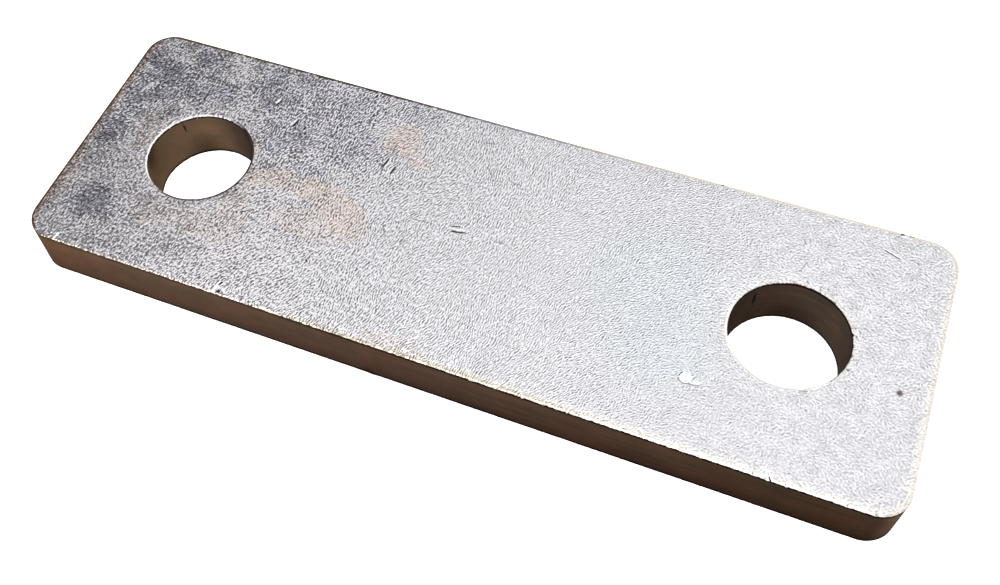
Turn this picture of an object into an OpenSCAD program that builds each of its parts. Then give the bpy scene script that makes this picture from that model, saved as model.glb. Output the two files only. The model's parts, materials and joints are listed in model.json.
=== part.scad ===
// U-bolt plate: a short length of flat bar with a hole for each leg of the u-bolt.
// The plate lies flat. The origin is at the middle of its underside, X runs along its length.

/* [Plate] */
// Length from end to end, in mm
plate_length = 150; // [132:0.5:300]
// Width of the flat bar, in mm
plate_width = 50; // [30:0.5:120]
// Thickness of the flat bar, in mm
plate_thickness = 10; // [3:0.5:25]
// Radius of the four corners, seen from above, in mm
corner_radius = 5; // [1:0.5:12]
// Radius of the softened edges, round the outside and at the hole mouths, in mm
edge_radius = 0.4; // [0.1:0.05:0.8]

/* [Leg holes] */
// Diameter of the u-bolt's legs, in mm
leg_diameter = 18; // [6:0.5:30]
// How much wider than its leg each hole is, in mm
leg_clearance = 1; // [0.2:0.1:2]
// Distance between the middles of the two legs, in mm
leg_spacing = 105.5; // [50:0.5:115]

/* [Hidden] */

hole_radius = (leg_diameter + leg_clearance) / 2;

// Middles of the corner arcs
corner_x = plate_length / 2 - corner_radius;
corner_y = plate_width / 2 - corner_radius;

// How far a cut runs past the face it opens
cut_past = 1;

$fn = 96;

// Upright section of the bar, standing on the X axis, with its four edges softened
module bar_section(width) {
    straight = width - 2 * edge_radius;
    translate([-width / 2, edge_radius])
        square([width, plate_thickness - 2 * edge_radius]);
    translate([-straight / 2, 0])
        square([straight, plate_thickness]);
    for (x = [-straight / 2, straight / 2], y = [edge_radius, plate_thickness - edge_radius])
        translate([x, y])
            circle(r = edge_radius);
}

// Quarter of a disc that fills one corner, with the same softened edges as the bar
module corner() {
    rotate_extrude(angle = 90)
        intersection() {
            bar_section(2 * corner_radius);
            square([corner_radius, plate_thickness]);
        }
}

// The plate before it is drilled: two crossing bars and the four corners between their ends
module blank() {
    rotate([90, 0, 90])
        linear_extrude(2 * corner_x, center = true)
            bar_section(plate_width);
    rotate([90, 0, 0])
        linear_extrude(2 * corner_y, center = true)
            bar_section(plate_length);
    for (side = [0, 1])
        rotate(180 * side) {
            translate([corner_x, corner_y])
                corner();
            translate([-corner_x, corner_y])
                rotate(90)
                    corner();
        }
}

// Flare that softens the upper mouth of a hole
module mouth_section() {
    difference() {
        translate([0, plate_thickness - edge_radius])
            square([hole_radius + edge_radius, edge_radius + cut_past]);
        translate([hole_radius + edge_radius, plate_thickness - edge_radius])
            circle(r = edge_radius);
    }
}

// What is taken out for one leg: a straight bore with a softened mouth at each face
module leg_hole() {
    rotate_extrude() {
        translate([0, -cut_past])
            square([hole_radius, plate_thickness + 2 * cut_past]);
        mouth_section();
        translate([0, plate_thickness])
            mirror([0, 1])
                mouth_section();
    }
}

module plate() {
    color("silver")
        difference() {
            blank();
            for (x = [-leg_spacing / 2, leg_spacing / 2])
                translate([x, 0])
                    leg_hole();
        }
}

plate();
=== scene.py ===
# U-bolt plate: a piece of zinc plated flat bar with two leg holes, lying on a white table.
import json
import math

import bpy
import numpy as np
from mathutils import Euler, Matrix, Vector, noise
from mathutils.geometry import delaunay_2d_cdt


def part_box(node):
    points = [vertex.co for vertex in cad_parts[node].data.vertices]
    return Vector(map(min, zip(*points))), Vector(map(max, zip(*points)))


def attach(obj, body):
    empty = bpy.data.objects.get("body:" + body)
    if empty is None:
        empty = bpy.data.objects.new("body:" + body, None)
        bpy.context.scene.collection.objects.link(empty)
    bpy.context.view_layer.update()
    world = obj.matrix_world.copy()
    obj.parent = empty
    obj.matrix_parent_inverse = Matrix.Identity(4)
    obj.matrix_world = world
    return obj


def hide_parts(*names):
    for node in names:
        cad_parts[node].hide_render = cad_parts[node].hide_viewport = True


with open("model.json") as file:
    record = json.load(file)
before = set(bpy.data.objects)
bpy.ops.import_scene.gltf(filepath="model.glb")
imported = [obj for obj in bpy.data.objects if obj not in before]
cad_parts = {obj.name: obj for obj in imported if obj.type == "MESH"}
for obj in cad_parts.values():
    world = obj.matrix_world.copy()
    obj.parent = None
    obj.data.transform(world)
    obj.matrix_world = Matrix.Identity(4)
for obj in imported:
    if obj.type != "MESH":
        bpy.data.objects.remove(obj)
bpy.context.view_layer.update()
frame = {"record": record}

MM = 0.001

# Sizes in mm, read from the frame
low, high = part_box("plate")
LENGTH, WIDTH, THICK = ((high - low) / MM)[:]
BORES = [m for m in frame["record"]["mounts"] if m["kind"] == "bore"]
HOLES = [np.array(m["pos_m"][:2]) / MM for m in BORES]
LEFT_HOLE, RIGHT_HOLE = HOLES
HOLE_R = BORES[0]["dims"]["r_mm"]
# A bore's wall ends where its softened mouths begin
EDGE_R = (THICK - BORES[0]["dims"]["length_mm"]) / 2
# Radius of the plate's corners, as in the part's source
CORNER_R = 5.0
# Signs of x and y at the four corners, anticlockwise from the front left
CORNER_SIGNS = [(-1, -1), (1, -1), (1, 1), (-1, 1)]

# Mesh pitch in mm, and rows of faces over one softened edge and down a side
LOOP_STEP = 0.25
FACE_STEP = 0.9
ROUND_ROWS = 4
SIDE_ROWS = 8
# How far the lattice of points on a flat face stays from its bounding loops
FACE_CLEAR = 1.6
# Points on a flat face that lie closer than this are one point, in mm
SAME_POINT = 1e-7


def rough(points, pitch, layer):
    """Smooth random values, about -1 to 1, whose features are one pitch apart."""
    return np.array([noise.noise((x / pitch, y / pitch, layer)) for x, y in points])


# The loops that bound the flat faces


class Loop:
    """A closed run of points, with the metal on its left. out points away from the metal."""

    def __init__(self, points, out, strip):
        self.points = np.array(points)
        self.out = np.array(out)
        self.strip = list(strip)
        steps = np.roll(self.points, -1, 0) - self.points
        self.run = np.concatenate([[0], np.cumsum(np.hypot(*steps.T))])


def outline():
    """The plate's outside, from the middle of the front left corner, one strip for each side."""
    points, out, strip = [], [], []
    arc_steps = math.ceil(CORNER_R * math.pi / 4 / LOOP_STEP)
    middles = [(sx * (LENGTH / 2 - CORNER_R), sy * (WIDTH / 2 - CORNER_R)) for sx, sy in CORNER_SIGNS]
    for side in range(4):
        start, end = np.array(middles[side]), np.array(middles[(side + 1) % 4])
        facing = math.radians(90 * side - 90)
        straight_steps = math.ceil(np.hypot(*(end - start)) / LOOP_STEP)
        turns = [(start, facing - math.pi / 4 * (1 - k / arc_steps)) for k in range(arc_steps)]
        turns += [(start + (end - start) * k / straight_steps, facing) for k in range(straight_steps)]
        turns += [(end, facing + math.pi / 4 * k / arc_steps) for k in range(arc_steps)]
        for middle, angle in turns:
            away = np.array((math.cos(angle), math.sin(angle)))
            points.append(middle + CORNER_R * away)
            out.append(away)
            strip.append(side)
    return Loop(points, out, strip)


def hole_loop(middle, strip):
    """The wall of one hole, clockwise, as one strip."""
    steps = round(2 * math.pi * HOLE_R / LOOP_STEP)
    angles = [-2 * math.pi * k / steps for k in range(steps)]
    rim = np.array([(math.cos(a), math.sin(a)) for a in angles])
    return Loop(middle + HOLE_R * rim, -rim, [strip] * steps)


# The plate's mesh

# Depth of the wide and of the close dips in the as-rolled face, in mm
WIDE_DIP = 0.008
CLOSE_DIP = 0.003
# How soft the upper edges of the left and of the right hole are, as a share of the edge radius
HOLE_MOUTHS = (0.6, 0.5)
# The same for all lower edges, and for the outline's upper edge behind the front band
LOWER_EDGE = 0.5
CRISP_EDGE = 0.2
# How far back from the front side the front's own wear reaches, in mm
FRONT_BAND = 5.0
# How much wider the outline and narrower the left and the right hole are at their feet, in mm
TAPER = (0.0, 0.25, 0.25)
# How far each foot is shifted along X and Y, in mm, in the same order
LEAN = ((0.0, 0.0), (0.3, 0.1), (0.18, 0.0))
# How much a lost crumb adds to an edge's radius, in mm
CRUMB_R = 0.35
# How ragged the mouths of the left and of the right hole are, where the front edge has 1
HOLE_RAGGED = (0.2, 1.7)
# Where one larger bit has broken off the front edge, what it adds to the radius and its half width, in mm
NICK_X = 55.8
NICK_R = 0.3
NICK_HALF = 0.3
# Where a burr is left on the front's foot, its half width in mm, and the share of the edge it fills
BURR_X = -8.6
BURR_HALF = 0.7
BURR_FILL = 0.95


def face_dip(x, y):
    """How far the as-rolled face lies below the flat, in mm."""
    wide = noise.noise((x / 14, y / 9, 3.0))
    close = noise.noise((x / 5, y / 4, 7.0))
    return WIDE_DIP * (1 + wide) + CLOSE_DIP * (1 + close)


def edge_sizes(loop, layer, share):
    """The local radius of a softened edge: worn unevenly, with fine breaks."""
    worn = rough(loop.points, 6, layer)
    torn = rough(loop.points, 0.8, layer + 0.5)
    fine = rough(loop.points, 0.35, layer + 0.25)
    return share * EDGE_R * (1 + 0.15 * worn + 0.25 * torn + 0.2 * fine).clip(0.5, 1.6)


def crumbled(loop, share):
    """Extra radius where crumbs of metal have broken off an edge. share says how ragged the edge is."""
    torn = rough(loop.points, 0.9, 30.0)
    return CRUMB_R * share * ((torn - 0.2) / 0.3).clip(0, 1)


def upper_crumbs(loops):
    """Crumbs lost from the upper edges: most along the front's right half and at the right hole."""
    x, y = loops[0].points.T
    front = ((x + 20) / 30).clip(0, 1) * (y < FRONT_BAND - WIDTH / 2)
    nick = NICK_R * np.exp(-((x - NICK_X) / NICK_HALF) ** 2) * (y < 0)
    x, y = (loops[2].points - RIGHT_HOLE).T
    right = ((x - 0.3 * y - 2) / 4).clip(0, 1)
    mouths = [crumbled(loops[1], HOLE_RAGGED[0]), crumbled(loops[2], HOLE_RAGGED[1] * right)]
    return [crumbled(loops[0], front) + nick, *mouths]


def outline_softness(loop):
    """How soft the outline's upper edge is: full at the front, and crisper elsewhere."""
    y = loop.points[:, 1]
    in_front = ((FRONT_BAND - WIDTH / 2 - y) / FRONT_BAND).clip(0, 1)
    return CRISP_EDGE + (1 - CRISP_EDGE) * in_front


def burred(loop):
    """The share of the lower edge's radius that is left, which is less at the burr."""
    x, y = loop.points.T
    burr = np.exp(-((x - BURR_X) / BURR_HALF) ** 2) * (y < FRONT_BAND - WIDTH / 2)
    return 1 - BURR_FILL * burr


class Skin:
    """Collects points and faces, each face with its places on the unwrapped sheet, in mm."""

    def __init__(self):
        self.points, self.faces, self.sheet = [], [], []

    def add_points(self, points):
        """Adds points and returns their numbers."""
        first = len(self.points)
        self.points.extend(map(tuple, points))
        return list(range(first, len(self.points)))

    def add_face(self, corners, places):
        self.faces.append(corners)
        self.sheet.append(places)

    def add_band(self, loop, rows, depths, origins):
        """The faces between rows of points. depths is each row's way down from the face."""
        count = len(loop.points)
        first_run = {s: loop.run[loop.strip.index(s)] for s in set(loop.strip)}
        for upper, lower, d0, d1 in zip(rows, rows[1:], depths, depths[1:]):
            for i in range(count):
                j = (i + 1) % count
                left, foot = origins[loop.strip[i]]
                u0 = left + loop.run[i] - first_run[loop.strip[i]]
                u1 = u0 + loop.run[i + 1] - loop.run[i]
                v0, v1 = foot - d0, foot - d1
                places = ((u0, v0), (u0, v1), (u1, v1), (u1, v0))
                self.add_face((upper[i], lower[i], lower[j], upper[j]), places)


def band_rows(skin, loop, top_r, low_r, taper, lean):
    """Rows of points from the upper face, over its edge, down the side and under the lower edge."""
    rows, depths = [], []

    def add(inset, z, depth):
        down = 1 - np.broadcast_to(z, len(loop.points))[:, None] / THICK
        inward = np.broadcast_to(inset, len(loop.points))[:, None] - taper * down
        flat = loop.points - loop.out * inward + down * lean
        rows.append(skin.add_points(np.column_stack([flat, np.broadcast_to(z, len(flat))])))
        depths.append(depth)

    dip = np.array([face_dip(x, y) for x, y in loop.points])
    quarter = EDGE_R * math.pi / 2
    wall = THICK - 2 * EDGE_R
    for k in range(ROUND_ROWS + 1):
        a = math.pi / 2 * k / ROUND_ROWS
        z = THICK - dip * math.cos(a) - top_r * (1 - math.cos(a))
        add(top_r * (1 - math.sin(a)), z, quarter * k / ROUND_ROWS)
    for k in range(1, SIDE_ROWS):
        share = k / SIDE_ROWS
        add(0, (THICK - top_r) * (1 - share) + low_r * share, quarter + wall * share)
    for k in range(ROUND_ROWS + 1):
        a = math.pi / 2 * (1 - k / ROUND_ROWS)
        add(low_r * (1 - math.sin(a)), low_r * (1 - math.cos(a)), quarter + wall + quarter * k / ROUND_ROWS)
    return rows, depths


def inside(point, ring):
    """True if a point lies within a closed ring of points."""
    x, y = point
    ahead = np.roll(ring, -1, 0)
    spans = (ring[:, 1] > y) != (ahead[:, 1] > y)
    a, b = ring[spans], ahead[spans]
    crossings = a[:, 0] + (y - a[:, 1]) / (b[:, 1] - a[:, 1]) * (b[:, 0] - a[:, 0])
    return np.count_nonzero(crossings > x) % 2 == 1


def face_points(spare):
    """A triangular lattice over the face, kept clear of its bounding loops."""
    row_step = FACE_STEP * math.sqrt(3) / 2
    for row in range(int(WIDTH / row_step)):
        y = -WIDTH / 2 + row_step * (row + 0.5)
        for column in range(int(LENGTH / FACE_STEP)):
            x = -LENGTH / 2 + FACE_STEP * (column + 0.5 + 0.5 * (row % 2))
            reach_x = max(abs(x) - (LENGTH / 2 - CORNER_R), 0)
            reach_y = max(abs(y) - (WIDTH / 2 - CORNER_R), 0)
            clear_of_outside = math.hypot(reach_x, reach_y) < CORNER_R - spare
            if clear_of_outside and all(math.dist((x, y), h) > HOLE_R + spare for h in HOLES):
                yield x, y


def add_flat(skin, rings, z_at, upward, place):
    """Fills the flat between the outer ring and the holes' rings with triangles."""
    indices = [i for ring in rings for i in ring]
    flat = [skin.points[i][:2] for i in indices]
    edges, first = [], 0
    for ring in rings:
        edges += [(first + k, first + (k + 1) % len(ring)) for k in range(len(ring))]
        first += len(ring)
    inner = list(face_points(FACE_CLEAR))
    indices += skin.add_points([(x, y, z_at(x, y)) for x, y in inner])
    flat += inner
    _, _, triangles, origin, _, _ = delaunay_2d_cdt(flat, edges, [], 0, SAME_POINT)
    bounds = [np.array([skin.points[i][:2] for i in ring]) for ring in rings]
    for triangle in triangles:
        corners = [origin[k][0] for k in triangle]
        middle = np.mean([flat[k] for k in corners], 0)
        on_rings = max(corners) < first
        if on_rings and (not inside(middle, bounds[0]) or any(inside(middle, b) for b in bounds[1:])):
            continue
        if not upward:
            corners = corners[::-1]
        skin.add_face(tuple(indices[k] for k in corners), tuple(place(*flat[k]) for k in corners))


def sheet_layout():
    """Where each part of the skin lies on the unwrapped sheet, in mm, and the sheet's side."""
    gap = 1.0
    band = THICK - 2 * EDGE_R + EDGE_R * math.pi
    side = LENGTH + 2 * gap
    top = gap + WIDTH / 2
    under = 2 * gap + 1.5 * WIDTH
    foot = [2 * WIDTH + 2 * gap + (k + 1) * (band + gap) for k in range(4)]
    # The strips of the two ends lie side by side
    past_end = 2 * CORNER_R * (math.pi / 4 - 1) + WIDTH + 2 * gap
    strips = [(gap, foot[0]), (gap, foot[2]), (gap, foot[1]), (gap + past_end, foot[2])]
    strips += [(gap, foot[3]), (gap + 2 * math.pi * HOLE_R + gap, foot[3])]
    return side, top, under, strips


def plate_mesh():
    """The whole plate as one closed mesh, unwrapped onto one sheet."""
    skin = Skin()
    side, top, under, strips = sheet_layout()
    loops = [outline()] + [hole_loop(h, 4 + k) for k, h in enumerate(HOLES)]
    crumbs = upper_crumbs(loops)
    uppers = [outline_softness(loops[0]), *HOLE_MOUTHS]
    tops, lows = [], []
    for k, loop in enumerate(loops):
        top_r = edge_sizes(loop, 10.0 + k, uppers[k]) + crumbs[k]
        low_r = edge_sizes(loop, 20.0 + k, LOWER_EDGE) * burred(loop)
        rows, depths = band_rows(skin, loop, top_r, low_r, TAPER[k], np.array(LEAN[k]))
        skin.add_band(loop, rows, depths, strips)
        tops.append(rows[0])
        lows.append(rows[-1])
    middle = side / 2
    add_flat(skin, tops, lambda x, y: THICK - face_dip(x, y), True, lambda x, y: (middle + x, top + y))
    add_flat(skin, lows, lambda x, y: 0.0, False, lambda x, y: (middle - x, under + y))

    mesh = bpy.data.meshes.new("plate_skin")
    mesh.from_pydata([(x * MM, y * MM, z * MM) for x, y, z in skin.points], [], skin.faces)
    unwrapped = mesh.uv_layers.new(name="OFBake")
    places = np.array([p for face in skin.sheet for p in face]) / side
    unwrapped.data.foreach_set("uv", places.ravel())
    mesh.polygons.foreach_set("use_smooth", [True] * len(mesh.polygons))
    mesh.update()
    return mesh


# Materials


class Tree:
    """Short calls for building a material's nodes."""

    def __init__(self, name):
        self.material = bpy.data.materials.new(name)
        self.material.use_nodes = True
        self.nodes = self.material.node_tree.nodes
        self.links = self.material.node_tree.links

    def put(self, socket, value):
        if isinstance(value, bpy.types.NodeSocket):
            self.links.new(value, socket)
        else:
            socket.default_value = value

    def node(self, kind, inputs=(), **settings):
        made = self.nodes.new("ShaderNode" + kind)
        for name, value in settings.items():
            setattr(made, name, value)
        for name, value in dict(inputs).items():
            self.put(made.inputs[name], value)
        return made

    def maths(self, operation, *values):
        return self.node("Math", enumerate(values), operation=operation).outputs[0]

    def chain(self, operation, values):
        result = values[0]
        for value in values[1:]:
            result = self.maths(operation, result, value)
        return result

    def total(self, *values):
        return self.chain("ADD", values)

    def product(self, *values):
        return self.chain("MULTIPLY", values)

    def largest(self, *values):
        return self.chain("MAXIMUM", values)

    def rest(self, share):
        """What a share leaves of 1."""
        return self.maths("SUBTRACT", 1.0, share)

    def factor(self, share, change):
        """1 where the share is 0, and 1 + change where it is 1."""
        return self.maths("MULTIPLY_ADD", share, change, 1.0)

    def step(self, value, start, end, low=0.0, high=1.0):
        """A smooth step from low to high as the value goes from start to end."""
        inputs = {"Value": value, "From Min": start, "From Max": end, "To Min": low, "To Max": high}
        return self.node("MapRange", inputs, interpolation_type="SMOOTHSTEP").outputs[0]

    def mix(self, share, a, b):
        return self.node("Mix", {0: share, 6: a, 7: b}, data_type="RGBA").outputs[2]

    def scaled(self, colour, level):
        return self.node("VectorMath", {0: colour, "Scale": level}, operation="SCALE").outputs[0]

    def tinted(self, colour, tint):
        return self.node("VectorMath", {0: colour, 1: tint}, operation="MULTIPLY").outputs[0]

    def noise(self, place, scale, detail=2.0, roughness=0.5):
        inputs = {"Vector": place, "Scale": scale, "Detail": detail, "Roughness": roughness}
        return self.node("TexNoise", inputs).outputs["Fac"]

    def local(self, place, middle, half, turn=0.0):
        """The place as seen from a turned box, which reaches from -1 to 1 each way."""
        inputs = {"Vector": place, "Location": middle, "Rotation": (0, 0, math.radians(turn)), "Scale": half}
        return self.node("Mapping", inputs, vector_type="TEXTURE").outputs[0]

    def round_spot(self, local):
        """1 at the middle of a box, falling to 0 at the ellipsoid that fills it."""
        return self.node("TexGradient", {"Vector": local}, gradient_type="SPHERICAL").outputs["Fac"]

    def bar_spot(self, local):
        """1 over most of a box, falling to 0 just inside its sides, and below 0 outside."""
        square = self.node("VectorMath", {0: local, 1: local}, operation="MULTIPLY").outputs[0]
        fourth = self.node("VectorMath", {0: square, 1: square}, operation="DOT_PRODUCT").outputs["Value"]
        return self.rest(fourth)


def grey(level, tint=(1, 1, 1)):
    """A colour of one level, tinted."""
    return (level * tint[0], level * tint[1], level * tint[2], 1.0)


# Stains, marks, painted shade and a painted highlight on the upper face: middle x and y, half length, half
# width, turn in degrees
# Dark blotches: stains, and some that paint shade, darkening the left end and its near corner
DARK_BLOTCHES = [
    (-67, 15, 9, 7, -20),
    (-57, 15, 6, 4, 0),
    (-71, 0, 3.5, 5, 0),
    (-66, -13.5, 5, 2.6, -15),
    (-37, 12, 13, 8, 0),
    (-27, 11, 9, 7, 0),
    (-31, 20, 12, 6, 0),
    (-19, 21.5, 7, 3.5, 0),
    (-46, 19, 9, 7, 0),
    (-40, 7.5, 4, 4, 0),
    (-33, 3.5, 5, 3, 0),
    (-66, -16, 7, 4, 0),
    (-71, 8.5, 4.5, 5, 0),
    (-62, 21.5, 5, 4, 0),
    (-42, 22, 6, 4, 0),
    (-36.5, 14.5, 4, 4, 0),
]
TAN_STAINS = [
    (-19.5, 15.7, 4.2, 4.6, 0),
    (-37, 0.4, 5.5, 2.7, 10),
    (-29.2, 0, 6.6, 3.2, 0),
    (-23.2, -3.7, 7.0, 5.0, -28),
    (-41.5, -1.2, 2.6, 2.6, 0),
]
FAINT_STAINS = [
    (-64.5, 2, 3.5, 6, 0),
    (-54.5, -14, 5.5, 4, 0),
    (-41, -10, 5, 8, 15),
    (-46, -13, 8, 4, 0),
    (-73, -12, 2.5, 7, 0),
    (-44.3, 4.0, 2, 3.5, 0),
    (-28, -7, 9, 4, 0),
    (-16, 12.5, 5, 2.5, -25),
    (-5, -23.8, 7, 2.5, 0),
]
BLUE_STAINS = [(31, 2, 14, 13, 0), (34, -9, 13, 10, 0)]
DARK_TICKS = [
    (-20.45, 9.85, 1.1, 0.17, 80),
    (-18.6, 8.75, 0.95, 0.17, 84),
    (-39.6, 12.7, 0.9, 0.2, 74),
    (-44.6, 16.2, 0.5, 0.15, 70),
    (-3.7, 1.4, 0.85, 0.11, 16),
    (-2.9, 0.4, 1.3, 0.16, 11),
    (38.95, -12.65, 0.45, 0.065, 67),
    (64.6, 20.3, 1.5, 0.09, -20),
    (-24.7, -13.7, 0.4, 0.14, -40),
    (-36.3, -22.8, 0.4, 0.15, 50),
    (-35.9, -24.4, 0.35, 0.2, 0),
    (35.7, 24.85, 0.3, 0.14, 0),
    (65.5, 24.8, 0.3, 0.14, 0),
    (NICK_X - 0.2, -24.75, 0.35, 0.12, -45),
]
FAINT_TICKS = [
    (68.2, 20.1, 0.8, 0.1, -20),
    (52.0, 13.2, 1.2, 0.09, 72),
    (-9.5, 0.4, 2.2, 0.1, 3),
    (2.1, 18.3, 0.7, 0.13, -30),
    (-2.3, 14.0, 1.2, 0.13, -52),
    (-0.4, 12.7, 1.0, 0.13, 8),
    (2.4, 13.4, 1.1, 0.12, -10),
    (-5, 20.2, 1.4, 0.12, 4),
    (-37.2, -9.2, 1.2, 0.18, -15),
    (-38.5, 18.7, 1.6, 0.14, 4),
    (-31, 15.2, 0.9, 0.2, 10),
    (-15, -3.4, 1.1, 0.12, -60),
    (-19.65, 9.5, 0.6, 0.09, 80),
    (-19.2, 9.2, 0.5, 0.09, 84),
    (-11, -4.5, 0.8, 0.13, 30),
    (4.3, 0.8, 0.6, 0.13, 5),
    (40.95, -13.05, 0.4, 0.08, 63),
    (41.4, -13.9, 0.9, 0.09, 8),
    (66.9, 24.8, 0.4, 0.14, 0),
]
BRIGHT_TICKS = [
    (-40.05, 12.85, 0.95, 0.17, 74),
    (-45.0, 16.6, 0.7, 0.2, 72),
    (-43.5, 13.2, 0.7, 0.1, 80),
    (-20.1, 9.75, 0.8, 0.1, 80),
    (-18.95, 8.95, 0.7, 0.1, 84),
    (-70.2, 11.4, 2.0, 0.05, 68),
    (-69.4, 12.4, 1.4, 0.045, 66),
    (-3.2, 0.92, 1.1, 0.2, 10),
    (64.7, 20.5, 1.6, 0.1, -20),
    (-36.7, -23.9, 1.3, 0.25, 86),
    (-68.1, -24.2, 0.8, 0.22, 85),
]
# A raised smear, its sheen painted as a bright highlight
BRIGHT_SPOTS = [(39.85, -13.0, 1.3, 1.15, 0), (41.35, -13.35, 1.15, 0.5, 8)]
RUST_SPOTS = [(70.2, -4.4, 0.85, 0.75, 0)]

# Dark seams down the hole walls: middle x, y and z, half width, half height
SEAMS = [(-59.8, 6.36, 7.9, 0.3, 1.7), (46.09, 6.78, 6.6, 0.4, 2.4)]
# Painted shade low on the hole walls and under the left hole's far left edge, and, last, a dark smudge on
# the front side at the burr, in the same order
SMUDGES = [
    (-57.6, 8.1, 0.0, 5.5, 7.5),
    (-61.9, -2.5, 9.0, 3.5, 5.0),
    (51.5, 9.2, 0.0, 9.0, 10.0),
    (-9.2, -25.0, 0.4, 1.8, 2.2),
]
# How far the round spots and the strokes on the upper face reach down into the plate, in mm
SPOT_REACH = 5
STROKE_REACH = 2.5

# Plating colours
COOL_ZINC = grey(0.70, (0.99, 0.985, 1.03))
WARM_ZINC = grey(0.70, (1.01, 0.985, 1.035))
DARK_ZINC = grey(0.70, (0.98, 0.965, 1.09))
BLUE_ZINC = grey(0.70, (0.96, 1.0, 1.05))
TAN_ZINC = grey(0.64, (1.10, 0.99, 0.945))
# Cream of the painted highlights by the edges
CREAM_ZINC = grey(0.80, (1.035, 1.0, 0.94))
EDGE_ZINC = grey(0.51, (1.12, 1.0, 0.84))
WORN_ZINC = grey(0.45, (1.2, 0.95, 0.85))
# The shading never lightens these colours by more than this factor
MOST_LIGHT = 1.4

# Colours of the marks on the plating; the bright one also paints the highlights on the holes' edges and the
# smear, the dark one the smear's painted shadow
PALE_RIM = (0.62, 0.555, 0.49, 1)
BRIGHT_MARK = grey(0.95)
DARK_MARK = grey(0.025)
RUST = (0.12, 0.05, 0.035, 1)

# Browns of the cut sides and of the hole walls, from place to place along X; the walls' browns paint light
# and shade round each hole
SIDE_BROWNS = {
    -73: (0.074, 0.038, 0.0225, 1),
    -55: (0.060, 0.0345, 0.0230, 1),
    0: (0.041, 0.0235, 0.0165, 1),
    60: (0.0285, 0.0150, 0.0095, 1),
}
WALL_BROWNS = {
    -60: (0.132, 0.083, 0.048, 1),
    -55: (0.112, 0.070, 0.041, 1),
    -51: (0.056, 0.037, 0.028, 1),
    -47.5: (0.036, 0.0255, 0.0205, 1),
    46: (0.043, 0.028, 0.0195, 1),
    52: (0.055, 0.035, 0.025, 1),
    57: (0.050, 0.034, 0.025, 1),
    62: (0.066, 0.046, 0.034, 1),
}
# Brown of the right end, and of the corners where they turn to it
END_BROWN = (0.085, 0.049, 0.033, 1)
# Tints of the browns: on the far side, towards the upper edge, and in the dark and the light mottles
FAR_TINT = (0.85, 1.05, 1.2)
UPPER_TINT = (1.1, 1.2, 1.15)
DARK_MOTTLE = (0.90, 1.0, 1.0)
LIGHT_MOTTLE = (1.12, 1.02, 1.0)

# How rough the plating and the cut sides are, and the height of one unit of grain, in mm
ZINC_ROUGH = 0.35
CUT_ROUGH = 0.55
GRAIN_HEIGHT = 0.013


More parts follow.
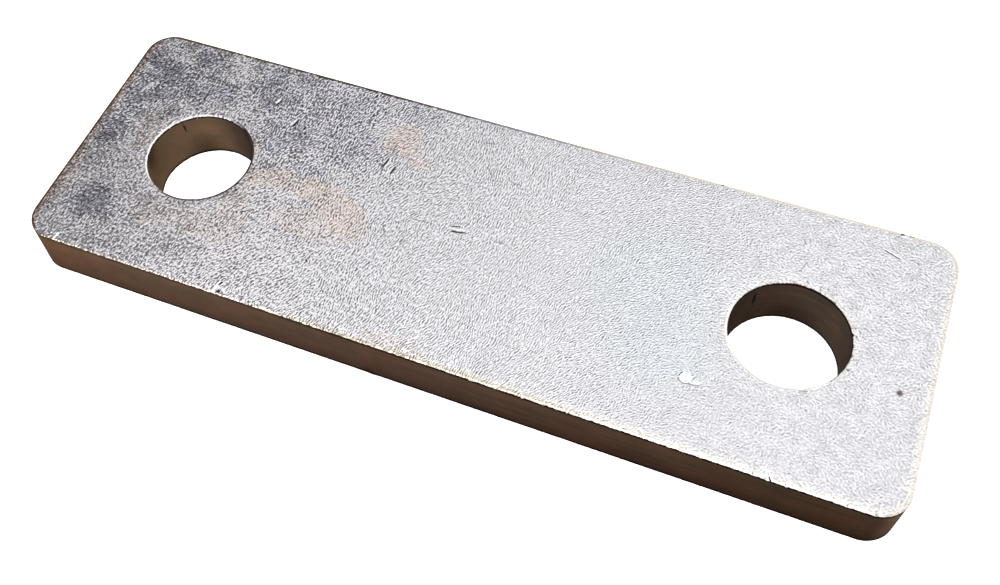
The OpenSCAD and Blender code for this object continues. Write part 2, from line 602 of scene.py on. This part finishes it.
class Plating(Tree):
    """Zinc plating with a pickled grain, stained, and brown where the bar was cut, with light, shade and
    highlights painted in places. Lengths are in mm.
    """

    def __init__(self):
        super().__init__("zinc_plating")
        origin = self.node("TexCoord").outputs["Object"]
        self.place = self.scaled(origin, 1 / MM)
        self.x, self.y, self.z = self.node("SeparateXYZ", {0: self.place}).outputs
        normal = self.node("NewGeometry").outputs["Normal"]
        self.nx, self.ny, self.nz = self.node("SeparateXYZ", {0: normal}).outputs
        self.inset = self.way_in()
        self.grain = self.relief()
        scab, self.scab_line = self.scabs()
        # Bright marks: scratches, and painted highlights on the smear and on the holes' edges
        self.bright = self.largest(self.strokes(BRIGHT_TICKS), scab, self.crescent(), self.near_rim())
        self.cut = self.cut_share()
        self.pale = self.pale_rim()

    def about(self, scale, spread, detail=1.0, roughness=0.5):
        """Noise about zero."""
        found = self.noise(self.place, scale, detail, roughness)
        return self.maths("MULTIPLY_ADD", found, 2 * spread, -spread)

    def warped(self, scale, reach):
        """The place, pushed about by noise."""
        push = self.node("TexNoise", {"Vector": self.place, "Scale": scale, "Detail": 2.0}).outputs["Color"]
        push = self.node("VectorMath", {0: push, 1: (0.5, 0.5, 0.5)}, operation="SUBTRACT").outputs[0]
        inputs = {0: push, 1: (reach, reach, reach), 2: self.place}
        return self.node("VectorMath", inputs, operation="MULTIPLY_ADD").outputs[0]

    def stretched(self, scale):
        """The place, scaled by a different number each way."""
        return self.node("Mapping", {"Vector": self.place, "Scale": scale}).outputs[0]

    def along(self, stops):
        """A colour that changes along X, through the given stops."""
        made = self.node("ValToRGB", {0: self.maths("MULTIPLY_ADD", self.x, 1 / LENGTH, 0.5)})
        shades = made.color_ramp.elements
        while len(shades) < len(stops):
            shades.new(0.5)
        for shade, (x, colour) in zip(shades, stops.items()):
            shade.position = x / LENGTH + 0.5
            shade.color = colour
        return made.outputs[0]

    def way_in(self):
        """How far a point lies inside the plate's outline, up to the corner radius."""
        past_x = self.maths("SUBTRACT", self.maths("ABSOLUTE", self.x), LENGTH / 2 - CORNER_R)
        past_y = self.maths("SUBTRACT", self.maths("ABSOLUTE", self.y), WIDTH / 2 - CORNER_R)
        past_x = self.maths("MAXIMUM", past_x, 0.0)
        past_y = self.maths("MAXIMUM", past_y, 0.0)
        square = self.total(self.product(past_x, past_x), self.product(past_y, past_y))
        return self.maths("SUBTRACT", CORNER_R, self.maths("SQRT", square))

    def from_wall(self, hole):
        """Distance outwards from a hole's wall."""
        flat = self.node("CombineXYZ", {0: self.x, 1: self.y}).outputs[0]
        from_axis = self.node("VectorMath", {0: flat, 1: (*hole, 0)}, operation="DISTANCE").outputs["Value"]
        return self.maths("SUBTRACT", from_axis, HOLE_R)

    def towards(self, hole, angle):
        """How far a point lies from a hole's axis in one direction, in degrees from +X."""
        ahead = (math.cos(math.radians(angle)), math.sin(math.radians(angle)))
        past = self.total(self.product(self.x, ahead[0]), self.product(self.y, ahead[1]))
        return self.maths("SUBTRACT", past, float(hole @ ahead))

    def strokes(self, marks):
        """Narrow marks on the upper face, slightly wavy, from 0 to 1."""
        place = self.warped(1.2, 0.3)
        bars = []
        for x, y, length, width, turn in marks:
            local = self.local(place, (x, y, THICK), (length, width, STROKE_REACH), turn)
            bars.append(self.bar_spot(local))
        return self.step(self.largest(*bars), -0.8, 0.6)

    def spots(self, marks):
        """Round spots on the upper face, 1 at their middles and 0 outside them."""
        rounds = []
        for x, y, length, width, turn in marks:
            local = self.local(self.place, (x, y, THICK), (length, width, SPOT_REACH), turn)
            rounds.append(self.round_spot(local))
        return self.largest(*rounds)

    def wall_spots(self, marks):
        """Upright spots on the hole walls and the sides, slightly wavy, from 0 to 1."""
        place = self.warped(0.5, 0.6)
        rounds = []
        for x, y, z, width, height in marks:
            local = self.local(place, (x, y, z), (width, width, height))
            rounds.append(self.round_spot(local))
        return self.largest(*rounds)

    def scabs(self):
        """A raised smear on the upper face, its sheen painted as a bright highlight, and a painted shadow
        along its near side, from 0 to 1.
        """
        raised = self.spots(BRIGHT_SPOTS)
        # Painted shadow along the smear's near side
        line = self.product(self.step(raised, 0.0, 0.04), self.step(raised, 0.18, 0.12))
        line = self.product(line, self.step(self.y, -13.0, -13.6, 0.0, 0.8))
        return self.step(raised, 0.1, 0.2, 0.0, 0.5), line

    def stains(self, marks, scale, spread, speckle):
        """Stains on the upper face, broken up by noise and speckled by the grain, from 0 to 1."""
        covered = self.spots(marks)
        noisy = self.total(self.about(scale, spread, 3.0), self.product(self.grain, speckle))
        reach = self.step(covered, 0.0, 0.15)
        return self.step(self.maths("MULTIPLY_ADD", noisy, reach, covered), 0.05, 0.55)

    def streaks(self):
        """Short streaks about zero, whose direction turns along the plate."""
        turn = self.step(self.x, 0, 75, math.radians(72), math.radians(-8))
        curl = self.product(self.about(0.3, 3.0), self.step(self.x, 20, 55))
        close = self.product(self.step(self.x, -45, 0, 1.3, 1.65), self.step(self.x, 15, 60, 1.0, 0.73))
        inputs = {
            "Vector": self.warped(0.6, 0.6),
            "Scale": 1.5,
            "Frequency": close,
            "Anisotropy": self.step(self.x, 10, 55, 0.75, 0.35),
            "Orientation": self.total(turn, curl, self.about(0.09, 0.8, 2.0), math.pi / 2),
        }
        return self.maths("SUBTRACT", self.node("TexGabor", inputs).outputs["Value"], 0.5)

    def relief(self):
        """Fine relief about zero: streaks and crumbs, specks on the left and swells on the right."""
        fade = self.product(self.step(self.x, -15, 25, 1.0, 0.56), self.step(self.x, 20, 55, 1.0, 0.78))
        streaks = self.product(self.streaks(), self.step(self.x, -60, -15, 7.0, 14.5), fade)
        crumbs = self.product(self.about(2.1, 3.0), self.step(self.x, -30, 10, 1.9, 1.2), fade)
        specks = self.product(self.about(1.5, 4.8, 2.5, 0.75), self.step(self.x, 0, -50))
        swells = self.product(self.about(0.5, 1.2, 2.0), self.step(self.x, 20, 60))
        weaker = self.total(self.step(self.x, -40, -60, 0.03, 0.16), self.step(self.x, -10, 15, 0.0, 0.13))
        across = self.factor(self.product(self.step(self.y, 15, -20), weaker), -1.0)
        return self.product(self.total(streaks, crumbs, specks, swells), across)

    def crescent(self):
        """A painted highlight on the left hole's edge, on its left and far left."""
        ring = self.step(self.total(self.from_wall(LEFT_HOLE), self.about(0.8, 0.15)), 0.34, 0.22)
        bare = self.step(self.towards(LEFT_HOLE, 190), 5.5, 8.5)
        thin = self.step(self.towards(LEFT_HOLE, 145), 5.0, 8.0, 0.0, 0.45)
        return self.product(ring, self.largest(bare, thin))

    def near_rim(self):
        """A painted highlight on the right hole's near edge."""
        ring = self.product(self.step(self.from_wall(RIGHT_HOLE), 0.45, 0.3), self.step(self.z, 9.3, 9.6))
        return self.product(ring, self.step(self.towards(RIGHT_HOLE, -120), 0.0, 4.0, 0.0, 0.8))

    def pale_rim(self):
        """The pale brown line along the far edge's right half and, fainter, down the right edge."""
        line = self.step(self.total(self.inset, self.about(1.4, 0.3, 2.0)), 0.55, 0.35)
        far = self.product(self.step(self.y, 18, 22), self.step(self.x, -10, 15))
        return self.product(line, self.largest(far, self.step(self.x, 70, 72, 0.0, 0.5)))

    def grain_contrast(self, stain):
        """How strongly the grain shows in the colour: most left of the middle, and less on a stain."""
        contrast = self.total(self.step(self.x, -36, 15, 0.265, 0.15), self.step(self.x, 0, 55, 0.17, 0.08))
        middle = self.product(self.step(self.x, -55, -25, 0.0, 0.07), self.step(self.x, 30, 10))
        far = self.product(self.step(self.y, -10, 15), self.step(self.x, -45, -22), self.step(self.x, 35, 5))
        contrast = self.product(self.total(contrast, middle), self.factor(far, 0.32))
        return self.product(contrast, self.factor(stain, -0.1))

    def wide_light(self):
        """Painted light and shade along the plate: darker at its ends, and lighter left of its middle."""
        near = self.step(self.y, 18, -20)
        ends = self.product(self.step(self.x, -78, -45, 0.75, 1.02), self.step(self.x, 0, 42, 1.0, 0.88))
        ends = self.product(ends, self.step(self.x, -75, 45, 0.81, 1.0))
        ends = self.product(ends, self.factor(self.product(near, self.step(self.x, 15, 45)), -0.02))
        near_lift = self.product(near, self.step(self.x, 12, -16, 0.02, 0.45), self.step(self.x, -60, -12))
        far_lift = self.product(self.step(self.x, 30, -14, 0.03, 0.34), self.step(self.x, -48, -8))
        far_lift = self.product(far_lift, self.rest(near))
        return self.product(ends, self.total(near_lift, far_lift, 1.0))

    def veins(self):
        """A factor for thin dark wandering lines, broken up, that fade out towards the right."""
        line = self.step(self.maths("ABSOLUTE", self.about(0.4, 1.0, 4.0, 0.6)), 0.03, 0.0)
        here = self.product(self.step(self.about(0.25, 1.0, 2.0), 0.02, 0.2), self.step(self.x, 15, -15))
        return self.factor(self.product(line, here), -0.5)

    def shade(self, blotch, stain):
        """How light the plating is: grained, clouded, veined, darker in its blotches, and with painted light
        and shade along the plate.
        """
        grained = self.maths("EXPONENT", self.product(self.grain, self.grain_contrast(stain)))
        blotched = self.factor(blotch, -0.38)
        mottled = self.product(self.about(0.28, 1.15, 3.0), self.step(self.x, 0, -40))
        mottled = self.product(mottled, self.step(self.y, -20, 5, 0.65, 1.0))
        cloudy = self.total(self.about(0.12, 0.06, 3.0), mottled, 1.0)
        # Painted light and shade along the plate is multiplied in here
        light = self.product(grained, blotched, self.wide_light(), cloudy, self.veins())
        return self.maths("MINIMUM", light, MOST_LIGHT)

    def cream_share(self):
        """Painted cream highlights on the plating: by the front and right edges, round the right hole, by
        the far edge.
        """
        wide = self.product(self.step(self.inset, 2.4, 0.3), self.step(self.x, -14, 8))
        narrow = self.product(self.step(self.inset, 1.2, 0.4), self.step(self.x, -50, -25))
        front_right = self.step(self.maths("MULTIPLY_ADD", self.x, -0.35, self.y), 5, -5)
        edges = self.product(self.largest(wide, narrow), front_right)
        edges = self.step(self.total(edges, self.about(0.8, 0.5, 2.0)), 0.3, 1.1)
        halo = self.total(self.from_wall(RIGHT_HOLE), self.about(0.7, 0.7, 2.0))
        halo = self.step(halo, 1.7, 0.5, 0.0, 0.4)
        far_line = self.product(self.step(self.inset, 1.0, 0.5), self.step(self.y, 22, 24))
        far_line = self.product(far_line, self.step(self.x, 0, 25, 0.0, 0.6))
        return self.largest(edges, halo, far_line)

    def zinc(self):
        """The plating's colour: cool grey, with stains, with dark blotches that are partly painted shade
        towards the left end, and with painted cream highlights by the edges.
        """
        blotch = self.stains(DARK_BLOTCHES, 0.45, 0.8, -0.1)
        colour = self.mix(self.step(self.x, 0, -45), COOL_ZINC, WARM_ZINC)
        colour = self.mix(blotch, colour, DARK_ZINC)
        colour = self.mix(self.stains(BLUE_STAINS, 0.2, 0.4, 0.1), colour, BLUE_ZINC)
        faint = self.product(self.stains(FAINT_STAINS, 0.5, 0.6, 0.1), 0.6)
        front_edge = self.product(self.step(self.y, -24.3, -24.6), self.step(self.x, 20, 0))
        stain = self.largest(self.stains(TAN_STAINS, 0.4, 0.5, 0.1), faint, front_edge)
        colour = self.mix(stain, colour, TAN_ZINC)
        # Painted cream highlights by the edges and round the right hole
        colour = self.mix(self.cream_share(), colour, CREAM_ZINC)
        warm = self.product(self.step(self.inset, 1.0, 0.35), self.step(self.y, -22, -24))
        warm = self.product(warm, self.step(self.x, -35, -15), self.step(self.x, 45, 15))
        colour = self.mix(warm, colour, EDGE_ZINC)
        worn = self.maths("MULTIPLY_ADD", self.grain, -0.2, self.step(self.x, -72.5, -74.4))
        colour = self.mix(self.step(worn, 0.1, 0.9, 0.0, 0.85), colour, WORN_ZINC)
        return self.scaled(colour, self.shade(blotch, stain))

    def marked(self, colour):
        """The pale rim, bright marks and painted highlights, dark ticks and the smear's painted shadow, and
        one rust spot, laid over the plating.
        """
        faint = self.product(self.strokes(FAINT_TICKS), 0.5)
        # Dark marks, and the painted shadow along the smear
        dark = self.largest(faint, self.strokes(DARK_TICKS), self.scab_line)
        rust = self.step(self.spots(RUST_SPOTS), 0.1, 0.7, 0.0, 0.9)
        colour = self.mix(self.pale, colour, PALE_RIM)
        colour = self.mix(self.bright, colour, BRIGHT_MARK)
        colour = self.mix(dark, colour, DARK_MARK)
        return self.mix(rust, colour, RUST)

    def brown_lines(self, ragged):
        """Brown lines, from 0 to 1: painted shade along the far and left edges' bevels, and brown along the
        front edge and at the holes' mouths.
        """
        edge = self.step(self.total(self.inset, ragged), 0.6, 0.4)
        # Painted shade on the far and left bevels
        far = self.product(edge, self.step(self.y, 18, 22), self.step(self.x, 45, -30))
        left = self.product(edge, self.step(self.x, -71, -73))
        torn = self.product(self.step(self.about(0.9, 1.0, 2.0), -0.05, 0.25), self.step(self.x, -15, -30))
        front = self.product(self.step(self.y, -24, -24.3), self.step(self.inset, 0.35, 0.5, 0.0, 0.6), torn)
        left_mouth = self.product(
            self.step(self.from_wall(LEFT_HOLE), 0.55, 0.35),
            self.step(self.towards(LEFT_HOLE, -20), -2, 2),
        )
        right_mouth = self.product(
            self.step(self.from_wall(RIGHT_HOLE), 0.45, 0.25),
            self.step(self.towards(RIGHT_HOLE, -95), 6, 9, 0.0, 0.3),
        )
        return self.largest(far, left, front, left_mouth, right_mouth)

    def cut_share(self):
        """1 on the cut sides, the hole walls and the brown lines, 0 on the rest of the flat faces."""
        lean = self.rest(self.maths("ABSOLUTE", self.nz))
        ragged = self.about(1.4, 0.45, 2.0)
        worn_front = self.product(self.step(self.x, 20, -10, 0.0, 0.28), self.step(self.y, -20, -23))
        worn_hole = self.product(
            self.step(self.towards(RIGHT_HOLE, 35), 0, 5, 0.0, 0.5),
            self.step(self.from_wall(RIGHT_HOLE), 2.0, 1.5),
        )
        sides = self.step(self.total(lean, ragged, worn_front, worn_hole), 0.55, 0.75)
        return self.largest(sides, self.brown_lines(ragged))

    def brown_tone(self, in_hole):
        """The browns of the outer sides and of the hole walls, mottled; the walls' browns paint light and
        shade.
        """
        turned = self.product(self.step(self.nx, 0.25, 0.9), self.step(self.x, 60, 70))
        outside = self.mix(turned, self.along(SIDE_BROWNS), END_BROWN)
        outside = self.mix(self.step(self.ny, 0.1, 0.8), outside, self.tinted(outside, FAR_TINT))
        outside = self.mix(self.step(self.z, 5.5, 8.5), outside, self.tinted(outside, UPPER_TINT))
        # Hole walls: browns with painted light and shade round each hole
        colour = self.mix(in_hole, outside, self.along(WALL_BROWNS))
        mottle = self.noise(self.stretched((0.12, 0.25, 0.5)), 1.0, 4.0, 0.6)
        mottle = self.step(mottle, 0.35, 0.65)
        return self.mix(mottle, self.tinted(colour, DARK_MOTTLE), self.tinted(colour, LIGHT_MOTTLE))

    def drawn_lines(self):
        """A factor for light and dark lines along the front side, stronger towards the right."""
        lines = self.noise(self.stretched((0.05, 0.3, 1.3)), 1.0, 3.0, 0.6)
        lines = self.step(lines, 0.3, 0.7, -0.12, 0.12)
        lines = self.product(lines, self.step(self.x, -40, 30, 0.25, 1.0))
        return self.maths("MULTIPLY_ADD", lines, self.step(self.ny, -0.4, -0.8), 1.0)

    def edge_shade(self, in_hole):
        """A factor that darkens the outer sides' feet, and paints shade along all lower edges and in a line
        under the upper edges.
        """
        foot = self.step(self.z, -1, 5, self.step(self.x, -40, 20, 0.62, 0.42), 1.0)
        foot = self.largest(foot, in_hole)
        # Painted shade along the lower edges
        lower_edge = self.step(self.z, 0.3, 1.0, 0.15, 1.0)
        # Painted shade in a line under the upper edges
        line_start = self.step(in_hole, 0.0, 1.0, 9.05, 9.3)
        line = self.step(self.maths("SUBTRACT", self.z, line_start), 0.0, 0.35, 0.0, 0.88)
        line = self.product(line, self.step(self.z, 9.95, 9.8))
        line = self.product(line, self.largest(in_hole, self.step(self.x, -50, 30, 0.35, 1.0)))
        return self.product(foot, lower_edge, self.rest(line))

    def brown(self):
        """The colour of the cut sides: warm brown, darker towards the right end and the foot, with painted
        shade in the holes, along the lower edges and under the upper edges.
        """
        in_hole = self.step(self.inset, 4.0, 4.9)
        seam = self.step(self.wall_spots(SEAMS), 0.0, 0.6, 1.0, 0.2)
        # Painted shade on the hole walls, and a dark smudge at the burr
        smudge = self.step(self.wall_spots(SMUDGES), 0.0, 0.9, 1.0, 0.45)
        patchy = self.total(self.about(0.3, 0.22, 3.0), 1.0)
        light = self.product(self.edge_shade(in_hole), seam, smudge, self.drawn_lines(), patchy)
        return self.scaled(self.brown_tone(in_hole), light)

    def build(self):
        """Joins all to the shader. Browns, bright marks, painted highlights and the pale rim aren't
        metallic.
        """
        shader = self.nodes["Principled BSDF"]
        zinc = self.marked(self.zinc())
        self.put(shader.inputs["Base Color"], self.mix(self.cut, zinc, self.brown()))
        dull = self.largest(self.cut, self.bright, self.pale)
        self.put(shader.inputs["Metallic"], self.rest(dull))
        shader.inputs["Specular IOR Level"].default_value = 0.0
        self.put(shader.inputs["Roughness"], self.step(self.cut, 0, 1, ZINC_ROUGH, CUT_ROUGH))
        height = self.product(self.grain, self.rest(self.cut))
        bump = self.node("Bump", {"Strength": 1.0, "Distance": GRAIN_HEIGHT * MM, "Height": height})
        self.put(shader.inputs["Normal"], bump.outputs[0])
        return self.material


# Whites of the table, and how much it glows, so that it stays white in the picture
TABLE_WHITES = (grey(0.90), grey(0.93))
TABLE_GLOW = 0.8
# Half the table's side in m, and how far its top lies below the plate in mm
TABLE_HALF = 3.0
TABLE_GAP = 0.02


def white_table():
    tree = Tree("white_table")
    shader = tree.nodes["Principled BSDF"]
    origin = tree.node("TexCoord").outputs["Object"]
    fine = tree.noise(origin, 60.0, 3.0)
    tree.put(shader.inputs["Base Color"], tree.mix(fine, *TABLE_WHITES))
    shader.inputs["Roughness"].default_value = 0.9
    shader.inputs["Emission Color"].default_value = grey(1.0)
    shader.inputs["Emission Strength"].default_value = TABLE_GLOW
    return tree.material


def build_plate():
    plate = bpy.data.objects.new("plated_plate", plate_mesh())
    bpy.context.scene.collection.objects.link(plate)
    plate.data.materials.append(Plating().build())
    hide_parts("plate")
    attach(plate, "root")


def build_table():
    mesh = bpy.data.meshes.new("table")
    corners = [(sx * TABLE_HALF, sy * TABLE_HALF, -TABLE_GAP * MM) for sx, sy in CORNER_SIGNS]
    mesh.from_pydata(corners, [], [(0, 1, 2, 3)])
    table = bpy.data.objects.new("table", mesh)
    bpy.context.scene.collection.objects.link(table)
    mesh.materials.append(white_table())


# Light and camera

# The even light from all round
ROOM_LIGHT = 0.06


def add_light(name, place, turn, size, power):
    """A soft panel that faces down until it is turned. Lengths in m, turns in degrees, power in W."""
    data = bpy.data.lights.new(name, "AREA")
    data.shape = "RECTANGLE"
    data.size, data.size_y = size
    data.energy = power
    light = bpy.data.objects.new(name, data)
    light.location = place
    light.rotation_euler = Euler([math.radians(a) for a in turn])
    bpy.context.scene.collection.objects.link(light)


def build_light():
    add_light("overhead_panel", (0.10, 0.14, 0.70), (0, 0, -35), (1.1, 1.3), 6.0)
    add_light("front_panel", (-0.1, -0.9, 0.65), (55, 0, -6), (1.0, 0.8), 14.0)
    add_light("back_panel", (0.55, 1.3, 0.4), (-82, 0, 0), (1.5, 0.7), 4.0)
    add_light("right_panel", (1.1, 0.65, 0.6), (-65, 0, -60), (1.0, 0.7), 3.0)
    add_light("left_panel", (-0.9, 0.9, 0.35), (-72, 0, 45), (1.6, 0.7), 1.6)
    world = bpy.data.worlds.new("studio")
    world.use_nodes = True
    background = world.node_tree.nodes["Background"]
    background.inputs["Color"].default_value = grey(1.0)
    background.inputs["Strength"].default_value = ROOM_LIGHT
    bpy.context.scene.world = world
    bpy.context.scene.view_settings.view_transform = "Standard"


def build_camera():
    """The photo's camera, as fitted to the plate's edges."""
    data = bpy.data.cameras.new("camera")
    data.sensor_width = 36.0
    data.lens = 41.989
    data.shift_x = 0.0857
    data.shift_y = -0.0173
    data.clip_start = 0.01
    camera = bpy.data.objects.new("camera", data)
    camera.location = (43.864 * MM, -102.952 * MM, 170.891 * MM)
    camera.rotation_euler = Euler([math.radians(a) for a in (33.0874, 3.8075, 22.7005)])
    bpy.context.scene.collection.objects.link(camera)
    bpy.context.scene.camera = camera


build_camera()
build_plate()
build_table()
build_light()
